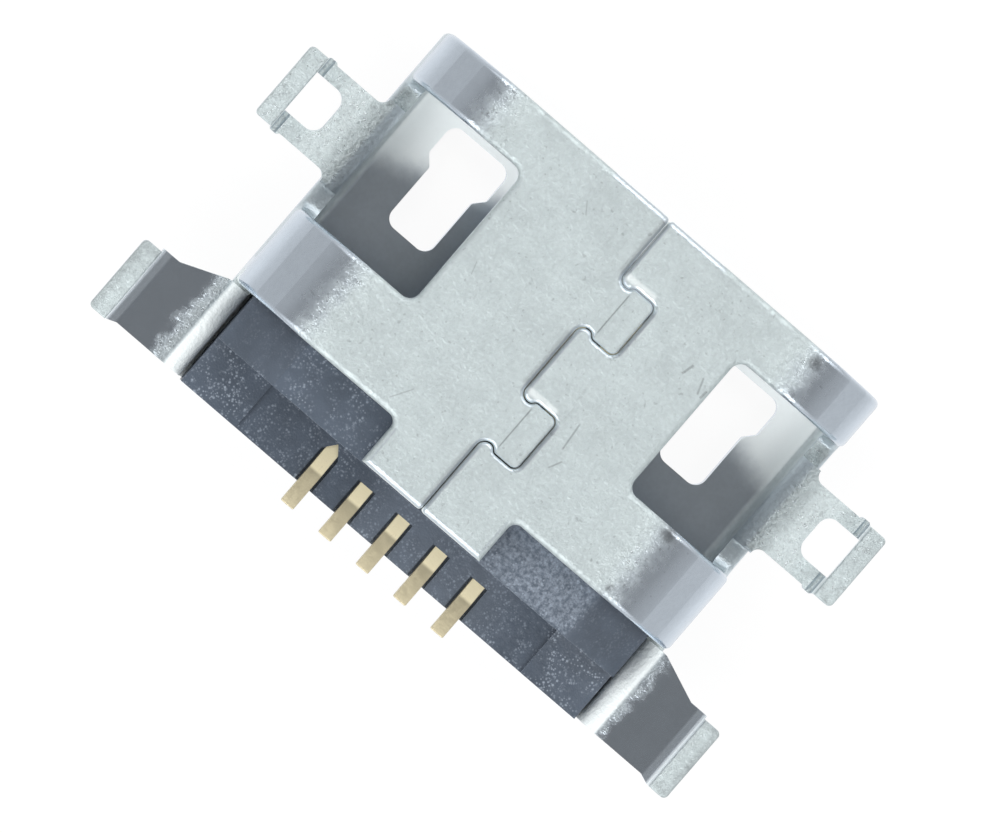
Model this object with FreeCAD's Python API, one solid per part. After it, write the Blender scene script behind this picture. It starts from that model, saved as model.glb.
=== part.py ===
import FreeCAD, Part
import math
import os

os.makedirs("parts", exist_ok=True)

# All sizes in mm. X is the width, the mouth faces -Y and the seam faces +Z.
# A depth is measured from the mouth, a height from the outside of the wide wall.

# Folded tube
sheet = 0.28
shell_width = 7.50
shell_height = 2.45
tube_depth = 4.31
flat_half = 2.93
bevel_drop = 0.90
floor_corner_r = 0.42
bevel_side_r = 1.10
bevel_top_r = 0.80
tab_half = 1.01
tab_length = 0.70
channel_setback = 0.03
tab_corner_r = 0.13
rolled_edge_r = 0.09

# Seam with its two keys
seam_gap = 0.04
seam_shoulder_r = 0.05
key_reach = 0.61
key_front_1 = 0.98
key_front_2 = 2.94
key_width = 0.885
key_corner_r = 0.12
key_swell = 0.07
swell_length = 0.06
swell_corner_r = 0.08
coin_start = 0.22
coin_drop = 0.015

# Windows and keyholes
window_inner = 1.86
window_front = 0.795
window_rear = 3.035
window_corner_r = 0.16
sill_drop = 0.30
sill_corner_r = 0.18
keyhole_center = 2.37
keyhole_wide = 1.01
keyhole_narrow = 0.74
keyhole_front = 0.855
keyhole_wide_end = 1.365
keyhole_narrow_start = 1.515
keyhole_rear = 2.435
keyhole_r = 0.17
keyhole_taper_r = 0.05

# Board legs: two ears in the windows and two wings at the back
board_height = 1.05
root_bend_r = 0.05
leg_bend_r = 0.06
leg_rise = 0.25
legs_across = 10.0
leg_corner_r = 0.07
leg_end_r = 0.03
crease_r = 0.05
bump = 0.035
bump_length = 0.16
ear_front = 1.31
ear_rear = 2.475
ear_flare = 0.13
ear_hole_inner = 4.18
ear_hole_front = 1.54
ear_hole_rear = 2.195
ear_hole_r = 0.18
leg_slot_rise = 0.10
wing_relief = 0.04
wing_root_x = 3.80
wing_slope_end_x = 4.45
wing_length = 1.14
wing_leg_setback = 0.05
wing_leg_overhang = 0.06

# Housing
side_clearance = 0.05
roof_clearance = 0.03
block_length = 1.45
block_overhang = 0.02
block_flat_half = 2.52
block_shoulder_height = 1.32
ledge_length = 0.75
ledge_center_drop = 0.07
ledge_side_drop = 0.02
ledge_center_half = 2.48
tongue_front = 0.95
tongue_half = 1.72
tongue_bottom = 0.52
tongue_tip_chamfer = 0.12
contact_proud = 0.02

# Contacts
contact_count = 5
contact_pitch = 0.65
contact_thickness = 0.15
tongue_contact_width = 0.35
tail_width = 0.21
contact_front = 1.25
neck_setback = 0.45
neck_length = 0.20
rise_length = 0.52
contact_rise = 0.15
tail_reach = 0.33
slot_clearance = 0.04
slot_setback = 0.215
long_slot_setback = 0.035

# Worked out from the sizes above
tab_depth = tube_depth + tab_length
block_rear = tab_depth + block_overhang
block_front = block_rear - block_length
ledge_rear = block_rear + ledge_length
channel_depth = ledge_rear - channel_setback
tail_tip_depth = ledge_rear + tail_reach
wing_front = channel_depth - wing_length
wing_leg_front = wing_front + wing_leg_setback
wing_leg_rear = channel_depth + wing_leg_overhang
contact_neck = block_rear - neck_setback
contact_rise_end = tab_depth + rise_length
side_x = shell_width / 2
inner_x = side_x - sheet
roof_z = shell_height - sheet
leg_outer_x = legs_across / 2
leg_inner_x = leg_outer_x - sheet
leg_top_z = board_height + leg_rise
root_bend_z = board_height - sheet - root_bend_r
sill_z = board_height - sill_drop
contact_z = board_height - contact_rise
tongue_top = contact_z - contact_proud
block_half = inner_x - side_clearance
block_top = roof_z - roof_clearance
reach = shell_width + legs_across
through_sheet = 3 * sheet


def y_at(depth):
    """Row-frame Y of a depth behind the mouth."""
    return depth - tail_tip_depth / 2


def plan(x, depth, z=0.0):
    return FreeCAD.Vector(x, y_at(depth), z)


def front(x, z):
    return FreeCAD.Vector(x, 0, z)


def side(depth, z):
    return FreeCAD.Vector(0, y_at(depth), z)


def corner(before, point, after, radius):
    """Start, middle and end of the arc that rounds one corner."""
    to_before = (before - point).normalize()
    to_after = (after - point).normalize()
    half = to_before.getAngle(to_after) / 2
    run = radius / math.tan(half)
    bisector = (to_before + to_after).normalize()
    middle = point + bisector * (radius / math.sin(half) - radius)
    return point + to_before * run, middle, point + to_after * run


def rounded_path(points, radii, closed):
    """Edges of a path of straight runs, with an arc wherever a radius isn't zero."""
    count = len(points)
    joints = []
    for i, point in enumerate(points):
        if radii[i] and (closed or 0 < i < count - 1):
            joints.append(corner(points[i - 1], point, points[(i + 1) % count], radii[i]))
        else:
            joints.append((point, None, point))
    edges = []
    for i, (start, middle, end) in enumerate(joints):
        if middle is not None:
            edges.append(Part.Arc(start, middle, end).toShape())
        if closed or i < count - 1:
            following = joints[(i + 1) % count][0]
            if end.distanceToPoint(following) > Part.Precision.confusion():
                edges.append(Part.LineSegment(end, following).toShape())
    return Part.Wire(edges)


def prism(points, sweep, radii=None):
    """Solid swept from a closed outline, whose corners may be rounded."""
    return Part.Face(rounded_path(points, radii or [0] * len(points), True)).extrude(sweep)


def box(x0, x1, depth0, depth1, z0, z1):
    return Part.makeBox(x1 - x0, depth1 - depth0, z1 - z0, plan(x0, depth0, z0))


def both_sides(shape):
    """A shape together with its mirror image across the middle of the width."""
    return shape.fuse(shape.mirror(FreeCAD.Vector(0, 0, 0), FreeCAD.Vector(1, 0, 0)))


def sweep_y(length):
    return FreeCAD.Vector(0, length, 0)


def sweep_z(length):
    return FreeCAD.Vector(0, 0, length)


def d_outline(half_width, bottom, top, flat, shoulder):
    """Corner points of the tube's section: wide floor, upright sides, bevels, narrow roof."""
    return [
        front(-half_width, bottom), front(half_width, bottom), front(half_width, shoulder),
        front(flat, top), front(-flat, top), front(-half_width, shoulder),
    ]


def tube_bar(inset):
    """The tube's section as a solid bar from the mouth back, drawn in by an inset."""
    bevel_angle = math.atan2(bevel_drop, side_x - flat_half)
    flat = flat_half - inset * math.tan(bevel_angle / 2)
    shoulder = shell_height - bevel_drop - inset * math.tan((math.pi / 2 - bevel_angle) / 2)
    radii = [floor_corner_r, floor_corner_r, bevel_side_r, bevel_top_r, bevel_top_r, bevel_side_r]
    bar = prism(
        d_outline(side_x - inset, inset, shell_height - inset, flat, shoulder),
        sweep_y(channel_depth), [radius - inset for radius in radii])
    bar.translate(FreeCAD.Vector(0, y_at(0), 0))
    return bar


def sharp_edges(shape, wanted):
    """Edges where two faces meet at an angle, if the point halfway along them is wanted."""
    edges = []
    for edge in shape.Edges:
        middle = edge.valueAt((edge.FirstParameter + edge.LastParameter) / 2)
        faces = shape.ancestorsOfType(edge, Part.Face)
        if len(faces) != 2 or not wanted(middle):
            continue
        normals = [face.normalAt(*face.Surface.parameter(middle)) for face in faces]
        if normals[0].getAngle(normals[1]) > math.pi / 4:
            edges.append(edge)
    return edges


def same(a, b):
    return abs(a - b) < Part.Precision.confusion()


def roll_edges(shell):
    """Rounds the outer cut edges above the sills, which the punch drew in."""
    skin = Part.Shell([face for face in tube_bar(0).Faces if same(face.normalAt(0, 0).y, 0)])

    def above_sills(point):
        return (point.z > sill_z + sill_corner_r
                and same(skin.distToShape(Part.Vertex(point))[0], 0))

    return shell.makeFillet(rolled_edge_r, sharp_edges(shell, above_sills))


def round_seam(shell):
    """Rounds the two shoulders of the parting line."""
    def on_seam(point):
        return same(point.z, shell_height) and -key_reach - seam_gap < point.x < seam_gap

    return shell.makeFillet(seam_shoulder_r, sharp_edges(shell, on_seam))


def round_leg_end(leg):
    """Rounds the edge round the end face of a leg."""
    return leg.makeFillet(leg_end_r, sharp_edges(leg, lambda point: same(point.z, leg_top_z)))


def rear_cutter():
    """Everything above the side walls behind the tube, but for the middle tab."""
    above = box(-reach, reach, tube_depth, reach, root_bend_z, reach)
    tab = prism(
        [plan(-tab_half, tube_depth, 0), plan(tab_half, tube_depth, 0),
         plan(tab_half, tab_depth, 0), plan(-tab_half, tab_depth, 0)], sweep_z(reach))
    web = prism(
        [plan(-tab_half - tab_corner_r, tube_depth), plan(-tab_half, tube_depth),
         plan(-tab_half, tube_depth + tab_corner_r)], sweep_z(reach))
    round_cutter = Part.makeCylinder(
        tab_corner_r, reach, plan(-tab_half - tab_corner_r, tube_depth + tab_corner_r))
    return above.cut(tab.fuse(both_sides(web.cut(round_cutter))))


def window_cutter():
    """One window: open from the roof, over the bevel, down to the sill on the side wall."""
    outline = prism(
        [plan(window_inner, window_front), plan(reach, window_front),
         plan(reach, window_rear), plan(window_inner, window_rear)],
        sweep_z(reach), [window_corner_r, 0, 0, window_corner_r])
    opening = prism(
        [side(window_front, sill_z), side(window_rear, sill_z),
         side(window_rear, reach), side(window_front, reach)],
        FreeCAD.Vector(reach, 0, 0), [sill_corner_r, sill_corner_r, 0, 0])
    return outline.common(opening)


def keyhole_cutter():
    """One latch hole in the wide wall, wider towards the mouth."""
    wide = keyhole_wide / 2
    narrow = keyhole_narrow / 2
    points = [
        (-wide, keyhole_front), (wide, keyhole_front), (wide, keyhole_wide_end),
        (narrow, keyhole_narrow_start), (narrow, keyhole_rear),
        (-narrow, keyhole_rear), (-narrow, keyhole_narrow_start), (-wide, keyhole_wide_end)]
    radii = ([keyhole_r] * 2 + [keyhole_taper_r] * 2) * 2
    return prism(
        [plan(keyhole_center + x, depth, -sheet) for x, depth in points], sweep_z(through_sheet), radii)


def key_path(key_front):
    """Corners and radii of the parting line round one key, wider where its end was struck."""
    key_rear = key_front + key_width
    neck_end = swell_length - coin_start
    points = [
        plan(0, key_front + key_swell), plan(neck_end, key_front + key_swell),
        plan(-coin_start, key_front), plan(-key_reach, key_front),
        plan(-key_reach, key_rear), plan(-coin_start, key_rear),
        plan(neck_end, key_rear - key_swell), plan(0, key_rear - key_swell)]
    radii = [key_corner_r, swell_corner_r, swell_corner_r, key_corner_r]
    return points, radii + radii[::-1]


def seam_cutter():
    """The parting line between the two ends of the sheet, stepping round both keys."""
    points, radii = [plan(0, -sheet)], [0]
    for key_front in (key_front_1, key_front_2):
        key_points, key_radii = key_path(key_front)
        points += key_points
        radii += key_radii
    points.append(plan(0, tab_depth + sheet))
    line = rounded_path(points, radii + [0], False)
    ribbon = line.makeOffset2D(seam_gap / 2, 0, True, True)
    ribbon.translate(FreeCAD.Vector(0, 0, roof_z - sheet))
    return ribbon.extrude(sweep_z(through_sheet))


def coin_cutters():
    """The pressed patches on the ends of the two keys."""
    return [
        box(-key_reach, -coin_start, key_front, key_front + key_width,
            shell_height - coin_drop, shell_height + coin_drop)
        for key_front in (key_front_1, key_front_2)]


def folded_strip(depth0, depth1):
    """Sheet that leaves the side wall, turns out flat on the board plane and turns up as a leg."""
    leg_outer_r = leg_bend_r + sheet
    wall_r = root_bend_r + sheet
    plate_z = board_height - sheet
    points = [
        front(inner_x, floor_corner_r), front(side_x, floor_corner_r), front(side_x, plate_z),
        front(leg_outer_x, plate_z), front(leg_outer_x, leg_top_z),
        front(leg_inner_x, leg_top_z), front(leg_inner_x, board_height),
        front(inner_x, board_height)]
    radii = [0, 0, root_bend_r, leg_outer_r, 0, 0, leg_bend_r, wall_r]
    strip = prism(points, sweep_y(depth1 - depth0), radii)
    strip.translate(FreeCAD.Vector(0, y_at(depth0), 0))
    return strip


def ear():
    """One front leg: a plate with a square hole that runs on into the foot of the leg."""
    bump_start = leg_inner_x - bump_length
    outline = prism(
        [plan(0, ear_front - ear_flare), plan(side_x, ear_front - ear_flare),
         plan(side_x, ear_front), plan(bump_start, ear_front),
         plan(bump_start + bump, ear_front - bump), plan(leg_inner_x - bump, ear_front - bump),
         plan(leg_inner_x, ear_front), plan(leg_outer_x, ear_front),
         plan(leg_outer_x, ear_rear), plan(leg_inner_x, ear_rear),
         plan(leg_inner_x - bump, ear_rear + bump), plan(bump_start + bump, ear_rear + bump),
         plan(bump_start, ear_rear), plan(side_x, ear_rear),
         plan(side_x, ear_rear + ear_flare), plan(0, ear_rear + ear_flare)],
        sweep_z(reach),
        [0, 0, ear_flare] + [0] * 4 + [leg_corner_r] * 2 + [0] * 4 + [ear_flare, 0, 0])
    strip = folded_strip(ear_front - 2 * ear_flare, ear_rear + 2 * ear_flare).common(outline)
    hole = prism(
        [plan(ear_hole_inner, ear_hole_front), plan(leg_inner_x, ear_hole_front),
         plan(leg_inner_x, ear_hole_rear), plan(ear_hole_inner, ear_hole_rear)],
        sweep_z(reach), [ear_hole_r, 0, 0, ear_hole_r])
    slot = box(leg_inner_x - sheet, leg_outer_x + sheet, ear_hole_front, ear_hole_rear,
               0, board_height + leg_slot_rise)
    return round_leg_end(strip.cut(hole).cut(slot).cut(crease(ear_front, ear_rear)))


def wing():
    """One rear leg: a plate with a slanted front edge, turned up at its tip."""
    outline = prism(
        [plan(0, tube_depth + wing_relief), plan(wing_root_x, tube_depth + wing_relief),
         plan(wing_slope_end_x, wing_front), plan(leg_inner_x, wing_front),
         plan(leg_inner_x, wing_leg_front), plan(leg_outer_x, wing_leg_front),
         plan(leg_outer_x, wing_leg_rear), plan(leg_inner_x, wing_leg_rear),
         plan(leg_inner_x - bump_length, channel_depth), plan(0, channel_depth)],
        sweep_z(reach), [0] + [leg_corner_r] * 2 + [0, 0] + [leg_corner_r] * 2 + [0] * 3)
    return round_leg_end(folded_strip(tube_depth, wing_leg_rear).common(outline))


def crease(depth0, depth1):
    """Shallow groove pressed in the inside corner where a leg turns up."""
    return Part.makeCylinder(
        crease_r, depth1 - depth0 + 4 * bump,
        plan(leg_inner_x - leg_bend_r, depth0 - 2 * bump, board_height), FreeCAD.Vector(0, 1, 0))


def make_shell():
    """The folded sheet-metal shell as one solid."""
    shell = tube_bar(0).cut(tube_bar(sheet))
    for cutter in [rear_cutter(), both_sides(window_cutter()), both_sides(keyhole_cutter())]:
        shell = shell.cut(cutter)
    shell = round_seam(roll_edges(shell).cut(seam_cutter()))
    for cutter in coin_cutters():
        shell = shell.cut(cutter)
    shell = shell.fuse([both_sides(ear()), both_sides(wing())])
    return shell.removeSplitter()


def contact_blank(width, tail):
    """A contact strip between two widths' plan outline and its side view."""
    low = contact_z - contact_thickness
    profile = prism(
        [side(contact_front, low), side(tab_depth, low),
         side(contact_rise_end, low + contact_rise), side(tail_tip_depth, low + contact_rise),
         side(tail_tip_depth, board_height), side(contact_rise_end, board_height),
         side(tab_depth, contact_z), side(contact_front, contact_z)],
        FreeCAD.Vector(2 * width, 0, 0))
    profile.translate(FreeCAD.Vector(-width, 0, 0))
    outline = prism(
        [plan(-width / 2, contact_front), plan(width / 2, contact_front),
         plan(width / 2, contact_neck), plan(tail / 2, contact_neck + neck_length),
         plan(tail / 2, tail_tip_depth), plan(-tail / 2, tail_tip_depth),
         plan(-tail / 2, contact_neck + neck_length), plan(-width / 2, contact_neck)],
        sweep_z(reach))
    return profile.common(outline)


def contact_x(index):
    return (index - (contact_count - 1) / 2) * contact_pitch


def make_contact(index):
    """One contact, numbered from the -X side."""
    strip = contact_blank(tongue_contact_width, tail_width)
    strip.translate(FreeCAD.Vector(contact_x(index), 0, 0))
    return strip


def tail_slot(index):
    """The pocket in the ledge round one solder tail, longer for the last contact."""
    half = tail_width / 2 + slot_clearance
    x = contact_x(index)
    floor = board_height - contact_thickness
    start = block_rear + slot_setback
    points = [plan(x - half, start, floor), plan(x + half, start, floor),
              plan(x + half, ledge_rear + sheet, floor), plan(x - half, ledge_rear + sheet, floor)]
    if index == contact_count - 1:
        points.insert(1, plan(x, block_rear + long_slot_setback, floor))
    return prism(points, sweep_z(sheet))


def make_housing(contacts):
    """The moulded insulator: rear block, ledge under the tails, and the tongue."""
    block = prism(
        d_outline(block_half, sheet, block_top, block_flat_half, block_shoulder_height),
        sweep_y(ledge_rear - block_front), [floor_corner_r - sheet] * 2 + [0] * 4)
    block.translate(FreeCAD.Vector(0, y_at(block_front), 0))
    step = box(-reach, reach, block_rear, reach, board_height - ledge_side_drop, reach)
    hollow = box(-ledge_center_half, ledge_center_half, block_rear, reach,
                 board_height - ledge_center_drop, reach)
    tongue = prism(
        [side(block_front + sheet, tongue_bottom), side(block_front + sheet, tongue_top),
         side(tongue_front + tongue_tip_chamfer, tongue_top),
         side(tongue_front, tongue_top - tongue_tip_chamfer),
         side(tongue_front, tongue_bottom + tongue_tip_chamfer),
         side(tongue_front + tongue_tip_chamfer, tongue_bottom)],
        FreeCAD.Vector(2 * tongue_half, 0, 0))
    tongue.translate(FreeCAD.Vector(-tongue_half, 0, 0))
    housing = block.cut(step).cut(hollow).fuse(tongue)
    for index in range(contact_count):
        housing = housing.cut(tail_slot(index))
    for contact in contacts:
        housing = housing.cut(contact)
    return housing.removeSplitter()


contacts = [make_contact(index) for index in range(contact_count)]
nodes = {"shell": make_shell(), "housing": make_housing(contacts)}
for index, contact in enumerate(contacts):
    nodes["contact_%d" % (index + 1)] = contact
for name, shape in nodes.items():
    shape.exportStep("parts/%s.step" % name)
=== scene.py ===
import math

import bmesh
import bpy
from bpy.props import FloatProperty, FloatVectorProperty, PointerProperty
from mathutils import Matrix, Vector


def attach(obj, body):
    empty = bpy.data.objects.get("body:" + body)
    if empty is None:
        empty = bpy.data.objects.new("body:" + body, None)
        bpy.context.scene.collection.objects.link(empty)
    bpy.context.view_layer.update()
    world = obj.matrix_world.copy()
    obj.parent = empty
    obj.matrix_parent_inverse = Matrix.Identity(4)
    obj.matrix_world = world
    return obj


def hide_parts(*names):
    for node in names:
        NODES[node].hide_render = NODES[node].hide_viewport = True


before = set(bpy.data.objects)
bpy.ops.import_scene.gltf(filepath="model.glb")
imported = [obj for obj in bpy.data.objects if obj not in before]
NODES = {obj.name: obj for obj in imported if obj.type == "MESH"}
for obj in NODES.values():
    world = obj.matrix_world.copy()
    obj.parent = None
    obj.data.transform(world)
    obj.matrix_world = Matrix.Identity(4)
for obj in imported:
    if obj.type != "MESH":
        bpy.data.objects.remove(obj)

bl_info = {
    "name": "Charging port dressing",
    "version": (1, 0, 0),
    "blender": (4, 5, 0),
    "location": "View3D > Sidebar > Charging port",
    "description": "Finishes the folded shell, the moulded housing and the gold-plated contacts of a charging port",
    "category": "Object",
}

MM = 0.001
CONTACTS = sorted(name for name in NODES if name.startswith("contact_"))
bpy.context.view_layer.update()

# Marks on the seam wall. A blot has its X, Y and size in mm.
BLOTS = ((-2.64, -2.88, 0.10), (-2.66, 0.08, 0.11), (-2.52, 1.10, 0.07), (0.60, -2.74, 0.03))
# A fine dark line has its middle X and Y, half length, slant and half width in mm, and its strength.
# The first two are painted shade along the steps that the press left across the keys, the next five painted shade
# along the sunk edges of the seam.
LINES = ((-0.22, -1.63, 0.36, 0.0, 0.010, 0.50), (-0.22, 0.33, 0.36, 0.0, 0.010, 0.50),
         (0.045, -2.56, 0.50, 0.0, 0.055, 0.30), (0.045, -0.65, 0.50, 0.0, 0.055, 0.30),
         (0.045, 1.36, 0.58, 0.0, 0.055, 0.26), (-0.60, -1.63, 0.38, 0.0, 0.050, 0.22),
         (-0.60, 0.33, 0.38, 0.0, 0.050, 0.22),
         (-1.43, -1.72, 0.10, 0.25, 0.016, 0.45), (-1.70, -1.66, 0.12, -0.35, 0.014, 0.40),
         (-1.80, -1.60, 0.07, 0.1, 0.016, 0.40), (-0.85, -0.06, 0.22, -0.10, 0.012, 0.45),
         (-0.93, 0.35, 0.10, 0.5, 0.012, 0.40), (1.20, 0.95, 0.16, 0.6, 0.010, 0.30),
         (0.95, -2.45, 0.09, -0.7, 0.010, 0.30), (1.55, -0.9, 0.10, -0.3, 0.008, 0.30))
# A painted highlight on the rounded edge in front of a key has the same numbers, with its middle Y before its
# middle X.
PAINTED_HIGHLIGHTS = ((-2.13, -0.26, 0.27, 0.0, 0.045, 0.60), (-0.17, -0.26, 0.27, 0.0, 0.045, 0.55))

# Zones of the plating, in mm. Two numbers are where a fade begins and ends, three are the two sides of a
# band and how far it fades. FAR is the distance from the middle plane, and UP how far a face looks up.
LEVEL_UP = (0.75, 0.95)
FLAT_UP = (0.975, 0.999)
STEEP_UP = (0.10, 0.45)
ROOF_Z = (2.20, 2.30)
ROOF_TOP_Z = (2.25, 2.35)
ROOF_EDGE_FAR = (2.42, 3.02)
FRAYED_FAR = (2.35, 2.75, 0.20)
SEAM_SHOULDER_FAR = (0.90, 1.00)
SEAM_WALL_FAR = (0.90, 0.95)
SEAM_WALL_Z = (2.20, 2.44, 0.02)
OUTSIDE_FAR = (3.44, 3.48)
ABOVE_FLOOR_Z = (0.60, 0.65)
FLOOR_Z = (0.30, 0.40)
FLOOR_PATCH = (-2.66, -2.14)
INNER_BEND_FAR = (3.36, 3.50, 0.03)
INNER_BEND_Z = (0.60, 0.70)
SILL_Y = (0.8, 0.9)
SILL_Z = (0.60, 1.20, 0.05)
EAR_Y = (-0.5, -0.4)
EAR_ROOT_FAR = (3.58, 3.88, 0.06)
EAR_BAR_FAR = (3.90, 4.30, 0.08)
WING_Y = (1.0, 1.1)
WING_Z = (0.60, 1.24, 0.03)
WING_ROOT_FAR = (3.72, 3.78)
WING_STREAK_FAR = (3.76, 3.82)
WING_RIDGE_FAR = (3.78, 4.08)
CORNER_FAR = (3.42, 3.56, 0.02)
CORNER_Y = (1.4, 1.5)
CORNER_Z = (1.2, 1.3)
RISER_FAR = (4.58, 4.74, 0.02)
RISER_Z = (1.06, 1.27, 0.02)
TIP_FAR = (4.6, 4.65)
TIP_Z = (1.22, 1.26)
TIP_END_FAR = (4.88, 4.94)
TIP_END_Y = (1.68, 1.76)
REAR_TIP_Y = (0.9, 1.0)

# Zones of the moulding, in the same way
LEDGE_Y = (1.94, 1.98)
LEDGE_RIM_Y = (2.62, 2.70)
LEDGE_CORNER_FAR = (2.25, 2.75)
BLOCK_FAR = (2.42, 2.60)
PALE_PATCH_X = (0.5, -1.8)
TAILS_FROM_X = (0.9, 0.2)
TAILS_TO_X = (-2.2, -1.4)

# Noises: scale for each mm, detail and roughness
WANDER_NOISE = (5.0, 4.0, 0.65)
BROAD_NOISE = (1.3, 4.0, 0.65)
PIT_NOISE = (9.0, 3.0, 0.65)
DOT_NOISE = (15.0, 1.0, 0.5)
GLINT_NOISE = (12.0, 2.0, 0.6)
BLOT_NOISE = (7.0, 3.0, 0.6)
FLECK_NOISE = (3.0, 4.0, 0.65)
SCUFF_NOISE = (11.0, 4.0, 0.7)
PALE_PATCH_NOISE = (15.0, 3.0, 0.7)
PLASTIC_NOISE = (1.4, 4.0, 0.65)
GOLD_NOISE = (3.0, 2.0, 0.6)

# Round flecks of the moulding: cells for each mm, radii of the core and of the edge, strength
FLECKS = ((15.0, 0.10, 0.38, 0.60), (23.0, 0.10, 0.40, 0.50))

# Depths of the relief that the bump nodes draw
STEEL_RELIEF = 0.026 * MM
PLASTIC_RELIEF = 0.008 * MM
GOLD_RELIEF = 0.003 * MM

# Welding the CAD mesh's copy, and joining its flat faces up again
WELD = 0.0005 * MM
FLAT_JOIN = math.radians(0.6)
# Edges of the moulding that turn more than this are rounded, but for those of the slots behind SLOTS_Y
MOULDED_ANGLE = math.radians(35)
SLOTS_Y, SLOTS_HALF, SLOTS_Z = 1.4 * MM, 1.6 * MM, 1.0 * MM
# Normals of the moulding: folds between wide faces stay sharp
WIDE_FACE = 0.01 * MM * MM
LEAST_FOLD = math.radians(0.5)
SMOOTH_BEFORE = math.radians(4)
SMOOTH_AFTER = math.radians(50)
FACE_WEIGHT = 90
BEND_STEPS = 5

# The stage, in metres and watts
FLOOR_SIZE = 1.2
FLOOR_Z_BELOW = -0.02 * MM
BACK_LAMP = ((0.0, 0.070, 0.060), 0.110, 0.060)
FRONT_LAMP = ((0.0, -0.070, 0.055), 0.110, 0.050)
SIDE_LAMPS = (("left_light", (0.070, 0.0, 0.060)), ("right_light", (-0.070, 0.0, 0.060)))
SIDE_LAMP_SIZE = (0.080, 0.060)
SENSOR = 36.0


def length(name, description, default, **limits):
    return FloatProperty(name=name, description=description, default=default,
                         subtype="DISTANCE", unit="LENGTH", precision=6, **limits)


def colour(name, description, default):
    return FloatVectorProperty(name=name, description=description, default=default,
                               subtype="COLOR", size=3, min=0.0, max=1.0)


def factor(name, description, default, high=1.0):
    return FloatProperty(name=name, description=description, default=default,
                         subtype="FACTOR", min=0.0, max=high)


def turn(name, description, default):
    return FloatProperty(name=name, description=description, default=default,
                         subtype="ANGLE", unit="ROTATION")


class ShellSettings(bpy.types.PropertyGroup):
    polished: colour("Polished plating", "Colour of the smooth plating", (0.62, 0.69, 0.77))
    tumbled: colour("Tumbled plating", "Colour of the plating that rubbed on other parts", (0.595, 0.665, 0.675))
    # The pale colour also paints reflections on the inner floor, the wing roots and the inner bends, light on the
    # seam walls and highlights in front of the keys
    pale_and_painted_light: colour("Fresh plating", "Colour of the pale matt plating in the corners", (0.93, 0.98, 0.98))
    # The stain colour also paints shade along the seam and the press steps and on the ear-root bends, besides the
    # blots
    stain_and_painted_shade: colour("Stain", "Colour of the small dark blots", (0.14, 0.15, 0.16))
    polished_roughness: factor("Polished roughness", "Roughness of the smooth plating", 0.24)
    tumbled_roughness: factor("Tumbled roughness", "Roughness of the rubbed plating", 0.55)
    tumbled_metal: factor("Tumbled metal", "How mirror-like the rubbed plating still is", 0.70)
    pale_zone_metal: factor("Fresh metal", "How mirror-like the pale matt plating is", 0.05)


class HousingSettings(bpy.types.PropertyGroup):
    edge: length("Moulded edge", "Rounding along the moulding's edges", 0.022 * MM, min=0.0)
    least_edge: length("Shortest edge", "Edges shorter than this stay sharp", 0.14 * MM, min=0.0)
    plastic: colour("Plastic", "Colour of the moulding", (0.056, 0.071, 0.094))
    fleck: colour("Fleck", "Colour of the pale flecks of glass fibre and scuffs", (0.42, 0.48, 0.56))
    roughness: factor("Roughness", "Roughness of the moulded skin", 0.42)


class ContactSettings(bpy.types.PropertyGroup):
    edge: length("Coined edge", "Rounding along the edges of each contact", 0.018 * MM, min=0.0)
    bend: length("Bend", "Half the length of the rounded part at each end of the rise", 0.06 * MM, min=0.0)
    thickness: length("Thickness", "Thickness of the strip", 0.15 * MM, min=0.0)
    tail_width: length("Tail width", "Width of a solder tail", 0.21 * MM, min=0.0)
    strip_width: length("Strip width", "Width of the strip on the tongue", 0.35 * MM, min=0.0)
    rise: length("Rise", "How far the tail lies above the contact face", 0.15 * MM)
    rise_high: length("High end of the rise", "Its distance from the tail tip", 0.58 * MM)
    rise_low: length("Low end of the rise", "Its distance from the tail tip", 1.10 * MM)
    neck_narrow: length("Narrow end of the neck", "Its distance from the tail tip", 1.33 * MM)
    neck_wide: length("Wide end of the neck", "Its distance from the tail tip", 1.53 * MM)
    gold: colour("Gold", "Colour of the plating", (0.60, 0.535, 0.365))
    # The bright gold is a painted highlight on the rise
    painted_highlight_gold: colour("Bright gold", "Colour of the burnished rise", (1.0, 0.89, 0.60))
    drag_mark: colour("Drag mark", "Colour of the die's drag marks", (0.50, 0.42, 0.30))
    roughness: factor("Roughness", "Roughness of the plating", 0.40)
    metal: factor("Metal", "How mirror-like the plating is", 0.55)


class StageSettings(bpy.types.PropertyGroup):
    roll: turn("Roll", "How far the camera is turned about its own line of sight", math.radians(40.7))
    lean: turn("Lean", "How far the camera leans to the +X side", math.radians(3.9))
    distance: length("Distance", "Camera to object", 0.150)
    target: FloatVectorProperty(name="Target", description="The point at the middle of the picture",
                                default=(-0.071 * MM, 0.3445 * MM, 1.0 * MM), size=3,
                                subtype="TRANSLATION", unit="LENGTH", precision=6)
    view_width: length("View width", "Width of the picture at the object", 13.16 * MM)
    back_light: factor("Back light", "Power of the soft light behind the object", 0.050, 10.0)
    front_light: factor("Front light", "Power of the soft light in front of the object", 0.036, 10.0)
    side_light: factor("Side light", "Power of each faint light at the sides", 0.030, 10.0)
    floor: colour("Floor", "Colour of the floor", (0.86, 0.86, 0.86))
    seen_floor: colour("Seen floor", "Colour under the floor's own glow", (0.08, 0.08, 0.08))


def deselect():
    if bpy.context.object and bpy.context.object.mode != "OBJECT":
        bpy.ops.object.mode_set(mode="OBJECT")
    bpy.ops.object.select_all(action="DESELECT")


def activate(obj):
    deselect()
    obj.select_set(True)
    bpy.context.view_layer.objects.active = obj


def add_bevel(obj, width, **settings):
    """Rounds edges with a modifier, and applies it."""
    activate(obj)
    bevel = obj.modifiers.new("Edge", "BEVEL")
    bevel.width = width
    bevel.segments = 2
    bevel.use_clamp_overlap = True
    for name, value in settings.items():
        setattr(bevel, name, value)
    bpy.ops.object.modifier_apply(modifier=bevel.name)


def smooth(obj, angle):
    activate(obj)
    bpy.ops.object.shade_smooth_by_angle(angle=angle)


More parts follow.
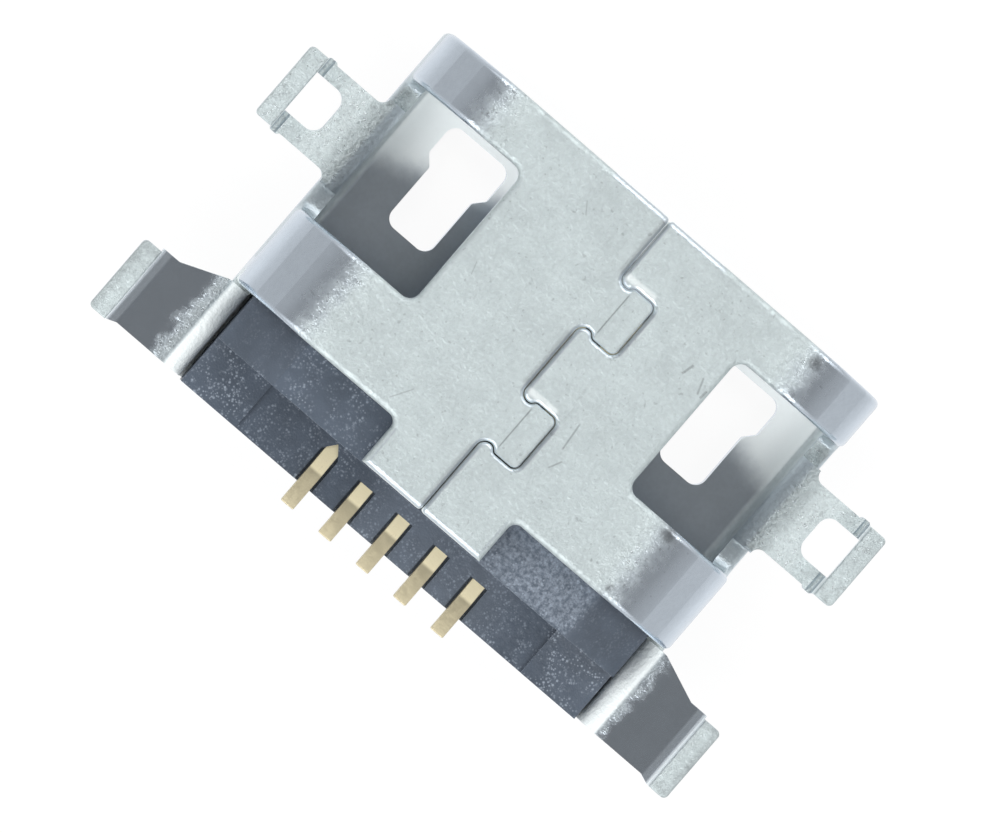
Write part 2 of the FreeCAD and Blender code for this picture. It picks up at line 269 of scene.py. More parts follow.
def select_edges(obj, chosen):
    """Leaves the object in edit mode with only the edges of the given indices selected."""
    bpy.ops.object.mode_set(mode="EDIT")
    bpy.ops.mesh.select_mode(type="EDGE")
    bpy.ops.mesh.select_all(action="DESELECT")
    bpy.ops.object.mode_set(mode="OBJECT")
    for edge in obj.data.edges:
        edge.select = edge.index in chosen
    bpy.ops.object.mode_set(mode="EDIT")


def dressed_copy(node, name):
    """A welded copy of a CAD node's mesh, with its flat faces joined up again."""
    source = NODES[node]
    copy = bpy.data.objects.new(name, source.data.copy())
    bpy.context.scene.collection.objects.link(copy)
    activate(copy)
    copy.data.materials.clear()
    bpy.ops.object.mode_set(mode="EDIT")
    bpy.ops.mesh.select_all(action="SELECT")
    bpy.ops.mesh.remove_doubles(threshold=WELD)
    bpy.ops.mesh.dissolve_limited(angle_limit=FLAT_JOIN)
    bpy.ops.object.mode_set(mode="OBJECT")
    return copy


class NodeDesk:
    """Short names for the nodes that the materials here are wired from."""

    def __init__(self, tree):
        self.tree = tree
        self.tree.nodes.clear()

    def new(self, kind, **settings):
        node = self.tree.nodes.new(kind)
        for key, value in settings.items():
            setattr(node, key, value)
        return node

    def wire(self, value, socket):
        if isinstance(value, bpy.types.NodeSocket):
            self.tree.links.new(value, socket)
        elif socket.type == "RGBA":
            socket.default_value = (*value, 1.0)
        else:
            socket.default_value = value

    def math(self, operation, *values):
        """One sum of the given kind, or a chain of them if there are more than two values."""
        result = values[0]
        for value in values[1:] or (None,):
            node = self.new("ShaderNodeMath", operation=operation)
            self.wire(result, node.inputs[0])
            if value is not None:
                self.wire(value, node.inputs[1])
            result = node.outputs[0]
        return result

    def times(self, *values):
        return self.math("MULTIPLY", *values)

    def plus(self, *values):
        return self.math("ADD", *values)

    def minus(self, first, second):
        return self.math("SUBTRACT", first, second)

    def most(self, *values):
        return self.math("MAXIMUM", *values)

    def size(self, value):
        return self.math("ABSOLUTE", value)

    def span(self, first, second):
        """The hypotenuse over two sides."""
        return self.math("SQRT", self.plus(self.math("POWER", first, 2.0), self.math("POWER", second, 2.0)))

    def step(self, value, low, high, out_low=0.0, out_high=1.0):
        """A smooth ramp from one value to another."""
        node = self.new("ShaderNodeMapRange", interpolation_type="SMOOTHSTEP")
        for name, item in zip(("Value", "From Min", "From Max", "To Min", "To Max"),
                              (value, low, high, out_low, out_high)):
            self.wire(item, node.inputs[name])
        return node.outputs["Result"]

    def fall(self, value, low, high, top=1.0):
        """A smooth ramp down to 0."""
        return self.step(value, low, high, top, 0.0)

    def band(self, value, low, high, soft):
        """1 between two limits, fading to 0 outside them."""
        return self.times(self.step(value, low - soft, low + soft),
                          self.fall(value, high - soft, high + soft))

    def mix(self, fac, first, second):
        node = self.new("ShaderNodeMix", data_type="RGBA")
        self.wire(fac, node.inputs[0])
        self.wire(first, node.inputs[6])
        self.wire(second, node.inputs[7])
        return node.outputs[2]

    def blend(self, fac, first, second):
        node = self.new("ShaderNodeMix", data_type="FLOAT")
        self.wire(fac, node.inputs[0])
        self.wire(first, node.inputs[2])
        self.wire(second, node.inputs[3])
        return node.outputs[0]

    def noise(self, vector, scale, detail, roughness):
        node = self.new("ShaderNodeTexNoise")
        self.wire(vector, node.inputs["Vector"])
        self.wire(scale, node.inputs["Scale"])
        self.wire(detail, node.inputs["Detail"])
        self.wire(roughness, node.inputs["Roughness"])
        return node.outputs["Fac"]

    def scaled(self, vector, *scale):
        node = self.new("ShaderNodeMapping")
        self.wire(vector, node.inputs["Vector"])
        self.wire(scale, node.inputs["Scale"])
        return node.outputs["Vector"]

    def millimetres(self):
        """Object coordinates in millimetres, as a vector and as X, Y and Z."""
        place = self.new("ShaderNodeTexCoord")
        vector = self.scaled(place.outputs["Object"], 1 / MM, 1 / MM, 1 / MM)
        split = self.new("ShaderNodeSeparateXYZ")
        self.wire(vector, split.inputs[0])
        return vector, split.outputs[0], split.outputs[1], split.outputs[2]

    def facing(self):
        """X, Y and Z of the surface's own normal."""
        geometry = self.new("ShaderNodeNewGeometry")
        split = self.new("ShaderNodeSeparateXYZ")
        self.wire(geometry.outputs["Normal"], split.inputs[0])
        return split.outputs

    def bump(self, height, depth):
        node = self.new("ShaderNodeBump")
        node.inputs["Strength"].default_value = 1.0
        node.inputs["Distance"].default_value = depth
        self.wire(height, node.inputs["Height"])
        return node.outputs["Normal"]

    def principled(self, **inputs):
        shader = self.new("ShaderNodeBsdfPrincipled")
        for name, value in inputs.items():
            self.wire(value, shader.inputs[name.replace("_", " ")])
        out = self.new("ShaderNodeOutputMaterial")
        self.tree.links.new(shader.outputs[0], out.inputs["Surface"])


def new_group(name, inputs, outputs):
    """An empty node group with named float or vector sockets, and its two end nodes."""
    tree = bpy.data.node_groups.new(name, "ShaderNodeTree")
    for label, kind in inputs:
        tree.interface.new_socket(name=label, in_out="INPUT", socket_type=kind)
    for label, kind in outputs:
        tree.interface.new_socket(name=label, in_out="OUTPUT", socket_type=kind)
    desk = NodeDesk(tree)
    return tree, desk, desk.new("NodeGroupInput"), desk.new("NodeGroupOutput")


def grain_group():
    """Fine pits and lumps: two sizes of noise as a height and as a mottling mask."""
    tree, desk, given, result = new_group(
        "Fine grain",
        [("Place", "NodeSocketVector"), ("Grain size", "NodeSocketFloat"), ("Coarse", "NodeSocketFloat")],
        [("Height", "NodeSocketFloat"), ("Mottle", "NodeSocketFloat")])
    place, grain_size, coarseness = given.outputs[:3]
    fine = desk.noise(place, desk.math("DIVIDE", 1.0, grain_size), 3.0, 0.6)
    coarse = desk.noise(place, desk.math("DIVIDE", 0.25, grain_size), 2.0, 0.5)
    desk.wire(desk.blend(coarseness, fine, coarse), result.inputs[0])
    desk.wire(desk.step(desk.plus(fine, coarse), 0.75, 1.25), result.inputs[1])
    return tree


def scratch_group():
    """Thin straight scratches in one direction, broken up along their length."""
    tree, desk, given, result = new_group(
        "Scratches",
        [("Place", "NodeSocketVector"), ("Amount", "NodeSocketFloat")],
        [("Mask", "NodeSocketFloat")])
    place, amount = given.outputs[:2]
    line = desk.noise(desk.scaled(place, 14.0, 0.9, 14.0), 1.0, 2.0, 0.55)
    patch = desk.noise(place, 0.9, 1.0, 0.5)
    desk.wire(desk.times(desk.step(line, 0.66, 0.74), desk.step(patch, 0.50, 0.62), amount),
              result.inputs[0])
    return tree


def line_group():
    """One fine line, in millimetres: 1 on the line and 0 off it."""
    names = ("X", "Y", "Middle X", "Middle Y", "Half length", "Slant", "Half width")
    tree, desk, given, result = new_group(
        "Fine line", [(name, "NodeSocketFloat") for name in names], [("Mask", "NodeSocketFloat")])
    x, y, middle_x, middle_y, half, slant, thin = given.outputs[:7]
    along = desk.minus(y, middle_y)
    across = desk.minus(desk.minus(x, middle_x), desk.times(along, slant))
    narrow = desk.fall(desk.size(across), desk.times(thin, 0.5), desk.times(thin, 1.5))
    short = desk.fall(desk.size(along), desk.times(half, 0.8), half)
    desk.wire(desk.times(narrow, short), result.inputs[0])
    return tree


def shared(name, make):
    """The node group of this name, made at its first use."""
    return bpy.data.node_groups.get(name) or make()


def place_group(desk, tree, *values):
    node = desk.new("ShaderNodeGroup", node_tree=tree)
    for value, socket in zip(values, node.inputs):
        desk.wire(value, socket)
    return node.outputs


def new_material(name, viewport):
    material = bpy.data.materials.new(name)
    material.use_nodes = True
    material.diffuse_color = (*viewport, 1.0)
    return material, NodeDesk(material.node_tree)


def steel_zones(desk, place, x, y, z, up):
    """Masks of the rubbed, the pale matt, the ragged and the darker parts of the plating, with painted reflections
    and painted light in the pale mask and painted shade in the darker one.
    """
    far = desk.size(x)
    level = desk.step(up, *LEVEL_UP)
    wander = desk.minus(desk.noise(place, *WANDER_NOISE), 0.5)
    edge_far = desk.plus(far, desk.times(wander, 0.45), desk.fall(x, -0.5, 0.5, top=0.10))

    slanted = desk.fall(desk.step(up, *FLAT_UP), 0.0, 1.0)
    shoulder = desk.times(slanted, desk.fall(far, *SEAM_SHOULDER_FAR))
    roof = desk.times(desk.step(z, *ROOF_Z), desk.fall(edge_far, *ROOF_EDGE_FAR),
                      desk.step(shoulder, 0.0, 1.0, 1.0, 0.45))
    outside = desk.step(far, *OUTSIDE_FAR)
    ear = desk.times(desk.fall(y, *EAR_Y), outside, desk.step(z, *ABOVE_FLOOR_Z), level)
    tip = desk.times(desk.step(z, *TIP_Z), desk.step(far, *TIP_FAR))
    sill = desk.times(desk.band(z, *SILL_Z), outside, desk.fall(y, *SILL_Y))
    inner_bend = desk.times(desk.fall(z, *INNER_BEND_Z), desk.band(far, *INNER_BEND_FAR))
    floor = desk.times(desk.fall(z, *FLOOR_Z), level)
    wing = desk.times(desk.band(z, *WING_Z), desk.step(y, *WING_Y))
    ridge = desk.times(wing, desk.fall(edge_far, *WING_RIDGE_FAR, top=0.75))
    streak = desk.times(ridge, desk.step(far, *WING_STREAK_FAR))
    rubbed = desk.most(desk.times(floor, 0.22), roof, ear, tip, ridge,
                       desk.times(inner_bend, 0.9), desk.times(sill, 0.6))

    # Painted reflection: the bends at the wing roots are made pale
    root = desk.times(wing, desk.fall(far, *WING_ROOT_FAR, top=0.90))
    riser = desk.times(desk.band(far, *RISER_FAR), desk.band(z, *RISER_Z), 0.8)
    # Painted reflection: a pale patch on the inner floor near the mouth
    reach = desk.plus(desk.times(far, -0.36), y, desk.times(wander, 0.25))
    lit_floor = desk.times(floor, desk.fall(reach, *FLOOR_PATCH))
    # Painted light: the steep walls inside the seam are made pale
    painted_light_seam_wall = desk.times(desk.band(z, *SEAM_WALL_Z), desk.fall(far, *SEAM_WALL_FAR),
                           desk.fall(desk.size(up), *STEEP_UP))
    corner = desk.times(desk.band(far, *CORNER_FAR), desk.step(y, *CORNER_Y), desk.fall(z, *CORNER_Z))
    bar = desk.times(ear, desk.band(far, *EAR_BAR_FAR), 0.12)
    # Pale: painted reflection on the wing roots, the inner floor patch and the inner bends, painted light on the
    # seam walls, and pale leg risers, rear corners and ear bars
    pale_and_painted_light = desk.most(root, riser, lit_floor, painted_light_seam_wall, corner, bar, desk.times(inner_bend, 0.30))

    roof_edge = desk.times(desk.band(edge_far, *FRAYED_FAR), desk.step(z, *ROOF_TOP_Z))
    frayed = desk.most(roof_edge, desk.times(streak, 1.6), desk.times(tip, 0.8), desk.times(ear, 1.4))

    tip_end = desk.times(desk.most(desk.step(far, *TIP_END_FAR), desk.fall(y, *TIP_END_Y)), tip,
                         desk.step(y, *REAR_TIP_Y, 0.0, 0.20))
    # Darker: painted shade on the ear-root bends, and darker tip ends and wing streaks
    dull_and_painted_shade = desk.most(desk.times(ear, desk.band(far, *EAR_ROOT_FAR), 0.16), tip_end,
                     desk.times(streak, 0.40))
    return rubbed, pale_and_painted_light, frayed, dull_and_painted_shade


def steel_marks(desk, settings, line, base, place, x, y, on_roof):
    """Adds the dark lines, with painted shade along the seam and the press steps, the painted highlights in front
    of the keys and the blots of the seam wall to a colour.
    """
    # Painted shade along the press steps and the seam, then the other fine dark lines
    for *values, strength in LINES:
        mask = desk.times(place_group(desk, line, x, y, *values)[0], on_roof, strength)
        base = desk.mix(mask, base, settings.stain_and_painted_shade)
    # Painted highlights in front of the keys
    for *values, strength in PAINTED_HIGHLIGHTS:
        mask = desk.times(place_group(desk, line, y, x, *values)[0], on_roof, strength)
        base = desk.mix(mask, base, settings.pale_and_painted_light)
    ragged = desk.times(desk.noise(place, *BLOT_NOISE), 0.15)
    for spot_x, spot_y, size in BLOTS:
        away = desk.plus(desk.span(desk.minus(x, spot_x), desk.minus(y, spot_y)), ragged)
        blot = desk.times(desk.fall(away, size * 0.8, size * 2.2, top=0.75), on_roof)
        base = desk.mix(blot, base, settings.stain_and_painted_shade)
    return base


def steel_material(settings):
    """Bright plating: polished where nothing touched it, satin where parts rubbed together."""
    material, desk = new_material("Plated steel", settings.polished)
    place, x, y, z = desk.millimetres()
    rubbed, pale_and_painted_light, frayed, dull_and_painted_shade = steel_zones(desk, place, x, y, z, desk.facing()[2])
    grain_height, grain_mottle = place_group(desk, shared("Fine grain", grain_group), place, 0.060, 0.25)
    scratches = place_group(desk, shared("Scratches", scratch_group), place, 0.35)[0]
    on_roof = desk.step(z, *ROOF_TOP_Z)

    broad = desk.step(desk.noise(place, *BROAD_NOISE), 0.35, 0.70)
    pits = desk.step(desk.noise(place, *PIT_NOISE), 0.56, 0.68)
    dots = desk.step(desk.noise(place, *DOT_NOISE), 0.68, 0.76)
    mottle_and_painted_shade = desk.plus(desk.times(broad, 0.08), desk.times(grain_mottle, 0.14),
                       desk.times(scratches, on_roof, 0.25))
    # The mottling also carries the painted shade of the ear-root bends
    mottle_and_painted_shade = desk.plus(desk.times(mottle_and_painted_shade, desk.blend(rubbed, 0.3, 1.0)), dull_and_painted_shade,
                       desk.times(frayed, pits, 0.16), desk.times(dots, on_roof, 0.24))
    mottle_and_painted_shade = desk.times(mottle_and_painted_shade, desk.blend(pale_and_painted_light, 1.0, 0.3))
    base = desk.mix(rubbed, settings.polished, settings.tumbled)
    # The pale colour gives painted reflections, painted light and the pale plating
    base = desk.mix(pale_and_painted_light, base, settings.pale_and_painted_light)
    base = desk.mix(mottle_and_painted_shade, base, settings.stain_and_painted_shade)
    base = steel_marks(desk, settings, shared("Fine line", line_group), base, place, x, y, on_roof)

    glints = desk.step(desk.noise(place, *GLINT_NOISE), 0.58, 0.68)
    rough = desk.blend(rubbed, settings.polished_roughness, settings.tumbled_roughness)
    rough = desk.plus(rough, desk.times(desk.minus(grain_mottle, 0.5), on_roof, 0.10))
    rough = desk.minus(rough, desk.times(glints, frayed, 0.22))
    metal = desk.blend(pale_and_painted_light, desk.blend(rubbed, 1.0, settings.tumbled_metal), settings.pale_zone_metal)
    height = desk.times(grain_height, desk.blend(rubbed, 0.05, 1.0), desk.blend(frayed, 1.0, 2.0),
                        desk.step(z, *FLOOR_Z))
    desk.principled(Base_Color=base, Metallic=metal, Roughness=rough,
                    Normal=desk.bump(height, STEEL_RELIEF))
    return material


def plastic_material(settings):
    """Glass-filled black moulding: a spark-eroded skin with pale flecks on the rubbed faces, paler patches on the
    block and a painted highlight on faces that tilt forward or back.
    """
    material, desk = new_material("Black plastic", settings.plastic)
    place, x, y, z = desk.millimetres()
    far = desk.size(x)
    _, look_y, look_z = desk.facing()
    grain_height = place_group(desk, shared("Fine grain", grain_group), place, 0.030, 0.3)[0]
    block = desk.times(desk.fall(far, *BLOCK_FAR), desk.fall(y, *LEDGE_Y))
    ledge = desk.step(y, *LEDGE_Y)
    corner = desk.times(desk.step(far, *LEDGE_CORNER_FAR), ledge)
    worn = desk.most(block, corner, desk.step(y, *LEDGE_RIM_Y))
    worn = desk.plus(desk.times(worn, 0.45), desk.times(ledge, 0.35), 0.20)

    dots = []
    for scale, core, edge, strength in FLECKS:
        cells = desk.new("ShaderNodeTexVoronoi")
        desk.wire(place, cells.inputs["Vector"])
        desk.wire(scale, cells.inputs["Scale"])
        dots.append(desk.fall(cells.outputs["Distance"], core, edge, top=strength))
    scuff = desk.step(desk.noise(place, *SCUFF_NOISE), 0.56, 0.70, 0.0, 0.45)
    patch = desk.step(desk.noise(place, *FLECK_NOISE), 0.40, 0.58)
    fleck = desk.times(desk.most(*dots, scuff), patch, worn)

    # Paler bluish patches towards the -X side, mostly on the raised block
    pale_patches = desk.times(desk.step(x, *PALE_PATCH_X), desk.step(desk.noise(place, *PALE_PATCH_NOISE), 0.30, 0.72),
                      desk.blend(block, desk.blend(ledge, 0.0, 0.05), 0.40))
    between_tails = desk.times(ledge, desk.step(x, *TAILS_FROM_X), desk.step(x, *TAILS_TO_X), 0.10)
    # Painted highlight on faces that tilt forward or back, such as the rounded edges
    edge = desk.times(desk.step(desk.size(look_y), 0.20, 0.55), desk.step(look_z, 0.20, 0.40), 0.55)
    tone = desk.step(desk.noise(place, *PLASTIC_NOISE), 0.3, 0.7)
    base = desk.mix(tone, settings.plastic, tuple(c * 1.35 for c in settings.plastic))
    # The fleck colour also paints the highlight on those faces
    base = desk.mix(desk.most(desk.plus(pale_patches, between_tails), edge), base, settings.fleck)
    base = desk.mix(fleck, base, settings.fleck)
    rough = desk.minus(settings.roughness, desk.times(fleck, 0.15))
    height = desk.plus(grain_height, desk.times(fleck, 0.6))
    desk.principled(Base_Color=base, Roughness=rough, Normal=desk.bump(height, PLASTIC_RELIEF))
    return material


def gold_material(settings):
    """Thin gold with a painted highlight on the rise, duller along the tail, and the die's drag marks."""
    material, desk = new_material("Gold plating", settings.gold)
    place = desk.millimetres()[0]
    _, look_y, look_z = desk.facing()
    grain_height, grain_mottle = place_group(desk, shared("Fine grain", grain_group), place, 0.03, 0.4)
    drag = place_group(desk, shared("Scratches", scratch_group), desk.scaled(place, 3.0, 3.0, 3.0), 0.5)[0]
    tone = desk.step(desk.noise(place, *GOLD_NOISE), 0.3, 0.7)
    # Painted highlight: faces of the rise that look up and tilt towards -Y get the bright gold
    rise = desk.times(desk.fall(look_y, -0.22, -0.08), desk.step(look_z, 0.80, 0.90))
    base = desk.mix(tone, settings.gold, tuple(c * 0.93 for c in settings.gold))
    base = desk.mix(rise, base, settings.painted_highlight_gold)
    base = desk.mix(desk.times(drag, 0.3), base, settings.drag_mark)
    rough = desk.plus(settings.roughness, desk.times(desk.minus(grain_mottle, 0.5), 0.2))
    metal = desk.blend(rise, settings.metal, settings.metal * 0.3)
    desk.principled(Base_Color=base, Metallic=metal, Roughness=rough,
                    Normal=desk.bump(grain_height, GOLD_RELIEF))
    return material


def dress(obj, material):
    """Puts one material on an object, through its slots where it has them."""
    if not obj.material_slots:
        obj.data.materials.append(material)
    for slot in obj.material_slots:
        slot.material = material


class PORT_OT_shell(bpy.types.Operator):
    """Plate the folded shell"""
    bl_idname = "port.shell"
    bl_label = "Shell"

    def execute(self, context):
        dress(NODES["shell"], steel_material(context.scene.port_shell))
        return {"FINISHED"}


def moulded_edges(obj, least):
    """Indices of the long sharp edges of the moulding, leaving out those of the tail slots."""
    mesh = bmesh.new()
    mesh.from_mesh(obj.data)
    chosen = set()
    for edge in mesh.edges:
        if len(edge.link_faces) != 2 or edge.calc_length() < least:
            continue
        if edge.calc_face_angle() < MOULDED_ANGLE:
            continue
        middle = (edge.verts[0].co + edge.verts[1].co) / 2
        if middle.y > SLOTS_Y and abs(middle.x) < SLOTS_HALF and middle.z < SLOTS_Z:
            continue
        chosen.add(edge.index)
    mesh.free()
    return chosen


def crisp_faces(obj):
    """Smooths the narrow rounded faces into the wide ones, and keeps the wide ones flat."""
    smooth(obj, SMOOTH_AFTER)
    mesh = bmesh.new()
    mesh.from_mesh(obj.data)
    folds = {edge.index for edge in mesh.edges if len(edge.link_faces) == 2
             and min(face.calc_area() for face in edge.link_faces) > WIDE_FACE
             and edge.calc_face_angle() > LEAST_FOLD}
    mesh.free()
    select_edges(obj, folds)
    bpy.ops.mesh.mark_sharp()
    bpy.ops.object.mode_set(mode="OBJECT")
    weighted = obj.modifiers.new("Normals", "WEIGHTED_NORMAL")
    weighted.keep_sharp = True
    weighted.weight = FACE_WEIGHT
    bpy.ops.object.modifier_apply(modifier=weighted.name)


class PORT_OT_housing(bpy.types.Operator):
    """Round the edges of the moulded housing and give it its skin"""
    bl_idname = "port.housing"
    bl_label = "Housing"

    def execute(self, context):
        settings = context.scene.port_housing
        piece = dressed_copy("housing", "moulded_housing")
        chosen = moulded_edges(piece, settings.least_edge)
        if not chosen:
            raise RuntimeError("no edge of the moulding was found to round")
        smooth(piece, SMOOTH_BEFORE)
        select_edges(piece, chosen)
        bpy.ops.transform.edge_bevelweight(value=1.0)
        bpy.ops.object.mode_set(mode="OBJECT")
        add_bevel(piece, settings.edge, limit_method="WEIGHT")
        crisp_faces(piece)
        dress(piece, plastic_material(settings))
        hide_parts("housing")
        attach(piece, "root")
        return {"FINISHED"}


def contact_stations(settings):
    """Distance from the tail tip, fall and width of each cross-section of a contact, tail first."""
    slope = settings.rise / (settings.rise_low - settings.rise_high)
    stations = []
    for place, turning_down in ((settings.rise_high, True), (settings.rise_low, False)):
        for step in range(BEND_STEPS):
            along = settings.bend * (2 * step / (BEND_STEPS - 1) - 1)
            if turning_down:
                fall = slope * (along + settings.bend) ** 2 / (4 * settings.bend)
            else:
                fall = settings.rise - slope * (settings.bend - along) ** 2 / (4 * settings.bend)
            stations.append((place + along, fall, settings.tail_width))
    stations.append((settings.neck_narrow, settings.rise, settings.tail_width))
    stations.append((settings.neck_wide, settings.rise, settings.strip_width))
    return stations


def select_end(obj, y):
    """Selects the face that closes the strip at one Y."""
    bpy.ops.mesh.select_all(action="DESELECT")
    bpy.ops.object.mode_set(mode="OBJECT")
    for face in obj.data.polygons:
        face.select = all(abs(obj.data.vertices[i].co.y - y) < 0.0001 * MM for i in face.vertices)
    bpy.ops.object.mode_set(mode="EDIT")


def form_contact(settings, tip, front, top):
    """One contact on the middle plane: a short block at the tail tip, extruded section by section."""
    stations = contact_stations(settings)
    stations.append((tip - front, settings.rise, settings.strip_width))
    place, fall, width = stations[0]
    deselect()
    bpy.ops.mesh.primitive_cube_add(size=1.0, location=(0.0, tip - place / 2, top - settings.thickness / 2))
    piece = bpy.context.object
    piece.name = "contact_strip"
    piece.scale = (settings.tail_width, place, settings.thickness)
    bpy.ops.object.transform_apply(location=True, rotation=False, scale=True)
    bpy.ops.object.mode_set(mode="EDIT")
    bpy.ops.mesh.select_mode(type="FACE")
    for next_place, next_fall, next_width in stations[1:]:
        select_end(piece, tip - place)
        step = (0.0, place - next_place, fall - next_fall)
        bpy.ops.mesh.extrude_region_move(TRANSFORM_OT_translate={"value": step})
        if next_width != width:
            bpy.ops.transform.resize(value=(next_width / width, 1.0, 1.0),
                                     center_override=(0.0, tip - next_place, top - next_fall))
        place, fall, width = next_place, next_fall, next_width
    bpy.ops.mesh.select_all(action="SELECT")
    bpy.ops.mesh.normals_make_consistent(inside=False)
    bpy.ops.object.mode_set(mode="OBJECT")
    add_bevel(piece, settings.edge, limit_method="ANGLE", angle_limit=math.radians(35), miter_outer="MITER_ARC")
    smooth(piece, math.radians(30))
    return piece


class PORT_OT_contacts(bpy.types.Operator):
    """Form one contact and set a copy of it in each place"""
    bl_idname = "port.contacts"
    bl_label = "Contacts"

    def execute(self, context):
        settings = context.scene.port_contacts
        corners = [vertex.co for vertex in NODES[CONTACTS[0]].data.vertices]
        tip, front = max(c.y for c in corners), min(c.y for c in corners)
        pattern = form_contact(settings, tip, front, max(c.z for c in corners))
        dress(pattern, gold_material(settings))
        for name in CONTACTS:
            sides = [vertex.co.x for vertex in NODES[name].data.vertices]
            activate(pattern)
            bpy.ops.object.duplicate(linked=False)
            piece = bpy.context.object
            piece.name = "formed_" + name
            bpy.ops.object.mode_set(mode="EDIT")
            bpy.ops.mesh.select_all(action="SELECT")
            bpy.ops.transform.translate(value=((max(sides) + min(sides)) / 2, 0.0, 0.0))
            bpy.ops.object.mode_set(mode="OBJECT")
            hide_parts(name)
            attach(piece, "root")
        bpy.data.objects.remove(pattern)
        return {"FINISHED"}


def soft_light(name, location, width, height, power):
    """A soft rectangular lamp that looks at the object."""
    deselect()
    bpy.ops.object.light_add(type="AREA", location=location)
    lamp = bpy.context.object
    lamp.name = name
    lamp.data.shape = "RECTANGLE"
    lamp.data.size = width
    lamp.data.size_y = height
    lamp.data.energy = power
    lamp.rotation_euler = (-lamp.location).to_track_quat("-Z", "Y").to_euler()
    return lamp


def studio_world():
    """A grey room with a dark ceiling over the object, brighter before and behind it."""
    world = bpy.data.worlds.new("Studio")
    bpy.context.scene.world = world
    world.use_nodes = True
    desk = NodeDesk(world.node_tree)
    split = desk.new("ShaderNodeSeparateXYZ")
    desk.wire(desk.new("ShaderNodeTexCoord").outputs["Generated"], split.inputs[0])
    x, y, z = split.outputs
    side_level = desk.plus(0.37, desk.times(desk.step(desk.size(x), 0.75, 1.0), 0.14))
    level = desk.blend(desk.step(desk.size(y), 0.25, 0.75), side_level, 0.95)
    level = desk.blend(desk.step(z, 0.84, 0.97), level, 0.20)
    paths = desk.new("ShaderNodeLightPath")
    background = desk.new("ShaderNodeBackground")
    background.inputs["Color"].default_value = (1.0, 1.0, 1.0, 1.0)
    desk.wire(desk.blend(paths.outputs["Is Camera Ray"], level, 1.0), background.inputs["Strength"])
    out = desk.new("ShaderNodeOutputWorld")
    desk.tree.links.new(background.outputs[0], out.inputs["Surface"])


def diffuse(desk, colour_value):
    node = desk.new("ShaderNodeBsdfDiffuse")
    node.inputs["Color"].default_value = (*colour_value, 1.0)
    return node.outputs[0]


def floor_material(settings):
    """A pale floor that keeps a faint shadow: white to the camera, and greyer far off in the plating."""
    material, desk = new_material("Pale floor", settings.floor)
    paths = desk.new("ShaderNodeLightPath").outputs
    place, x, y, z = desk.millimetres()
    away = desk.span(x, y)
    mirrored = desk.minus(desk.step(away, 4.5, 9.5, 0.95, 0.62), desk.step(away, 9.0, 25.0, 0.0, 0.12))
    glow = desk.new("ShaderNodeEmission")
    desk.wire(desk.blend(paths["Is Camera Ray"], mirrored, 0.92), glow.inputs["Strength"])
    both = desk.new("ShaderNodeAddShader")
    desk.wire(diffuse(desk, settings.seen_floor), both.inputs[0])
    desk.wire(glow.outputs[0], both.inputs[1])
    seen = desk.most(paths["Is Camera Ray"], paths["Is Glossy Ray"], paths["Is Transmission Ray"])
    choose = desk.new("ShaderNodeMixShader")
    desk.wire(seen, choose.inputs[0])
    desk.wire(diffuse(desk, settings.floor), choose.inputs[1])
    desk.wire(both.outputs[0], choose.inputs[2])
    out = desk.new("ShaderNodeOutputMaterial")
    desk.wire(choose.outputs[0], out.inputs["Surface"])
    return material


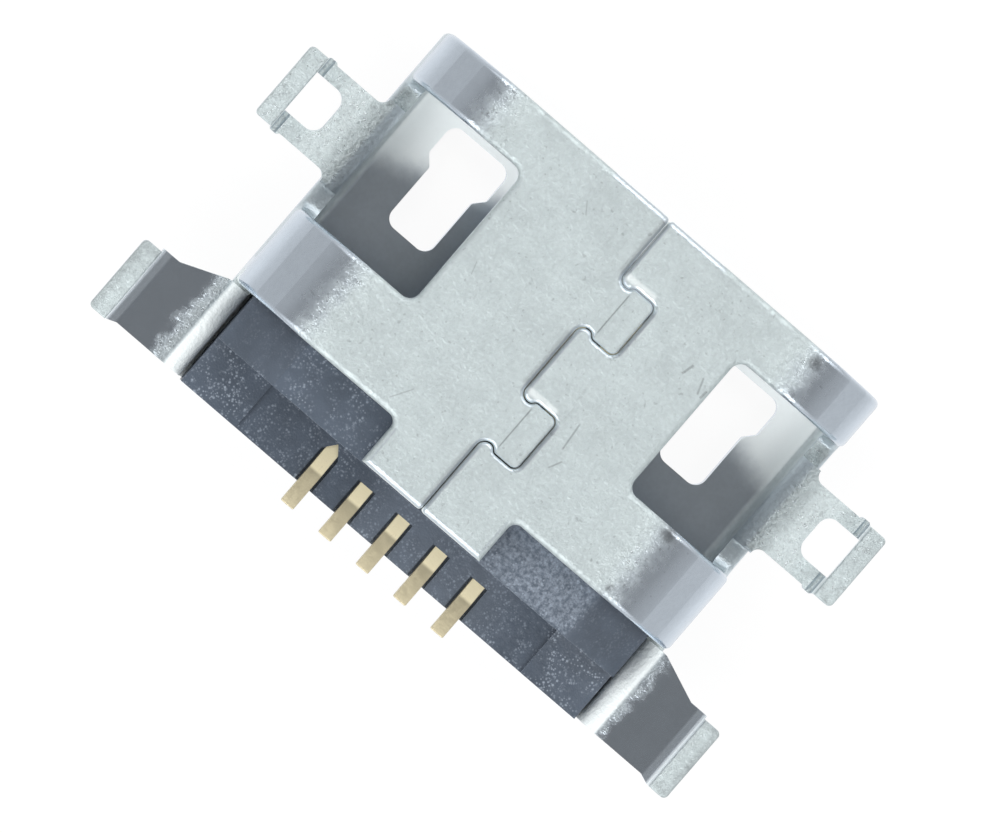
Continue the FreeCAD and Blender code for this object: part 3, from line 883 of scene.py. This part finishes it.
class PORT_OT_stage(bpy.types.Operator):
    """Set the floor, the soft lights and the camera"""
    bl_idname = "port.stage"
    bl_label = "Stage"

    def execute(self, context):
        settings = context.scene.port_stage
        deselect()
        bpy.ops.mesh.primitive_plane_add(size=FLOOR_SIZE, location=(0.0, 0.0, FLOOR_Z_BELOW))
        floor = bpy.context.object
        floor.name = "floor"
        dress(floor, floor_material(settings))
        studio_world()
        soft_light("back_light", *BACK_LAMP, settings.back_light)
        soft_light("front_light", *FRONT_LAMP, settings.front_light)
        for name, location in SIDE_LAMPS:
            lamp = soft_light(name, location, *SIDE_LAMP_SIZE, settings.side_light)
            lamp.visible_glossy = False

        data = bpy.data.cameras.new("camera")
        camera = bpy.data.objects.new("camera", data)
        context.scene.collection.objects.link(camera)
        context.scene.camera = camera
        data.sensor_width = SENSOR
        data.lens = SENSOR * settings.distance / settings.view_width
        data.clip_start = 0.001
        data.clip_end = 10.0
        right = Vector((-math.cos(settings.roll), -math.sin(settings.roll), 0.0))
        away = Vector((math.sin(settings.lean), 0.0, math.cos(settings.lean)))
        right = (right - away * right.dot(away)).normalized()
        turned = Matrix((right, away.cross(right), away)).transposed().to_4x4()
        camera.matrix_world = Matrix.Translation(Vector(settings.target) + away * settings.distance) @ turned
        context.scene.view_settings.view_transform = "Standard"
        return {"FINISHED"}


class PORT_PT_panel(bpy.types.Panel):
    """Sizes, colours and steps of the charging port"""
    bl_idname = "PORT_PT_panel"
    bl_label = "Charging port"
    bl_space_type = "VIEW_3D"
    bl_region_type = "UI"
    bl_category = "Charging port"

    def draw(self, context):
        for operator, group in STEPS:
            column = self.layout.column()
            settings = getattr(context.scene, group)
            for name in settings.__annotations__:
                column.prop(settings, name)
            column.operator(operator.bl_idname)


STEPS = (
    (PORT_OT_shell, "port_shell"),
    (PORT_OT_housing, "port_housing"),
    (PORT_OT_contacts, "port_contacts"),
    (PORT_OT_stage, "port_stage"),
)
GROUPS = {
    "port_shell": ShellSettings,
    "port_housing": HousingSettings,
    "port_contacts": ContactSettings,
    "port_stage": StageSettings,
}


def register():
    for group in GROUPS.values():
        bpy.utils.register_class(group)
    for name, group in GROUPS.items():
        setattr(bpy.types.Scene, name, PointerProperty(type=group))
    for operator, _ in STEPS:
        bpy.utils.register_class(operator)
    bpy.utils.register_class(PORT_PT_panel)


def unregister():
    bpy.utils.unregister_class(PORT_PT_panel)
    for operator, _ in reversed(STEPS):
        bpy.utils.unregister_class(operator)
    for name, group in reversed(GROUPS.items()):
        delattr(bpy.types.Scene, name)
        bpy.utils.unregister_class(group)


def main():
    register()
    bpy.ops.port.shell()
    bpy.ops.port.housing()
    bpy.ops.port.contacts()
    bpy.ops.port.stage()


if __name__ == "__main__":
    main()
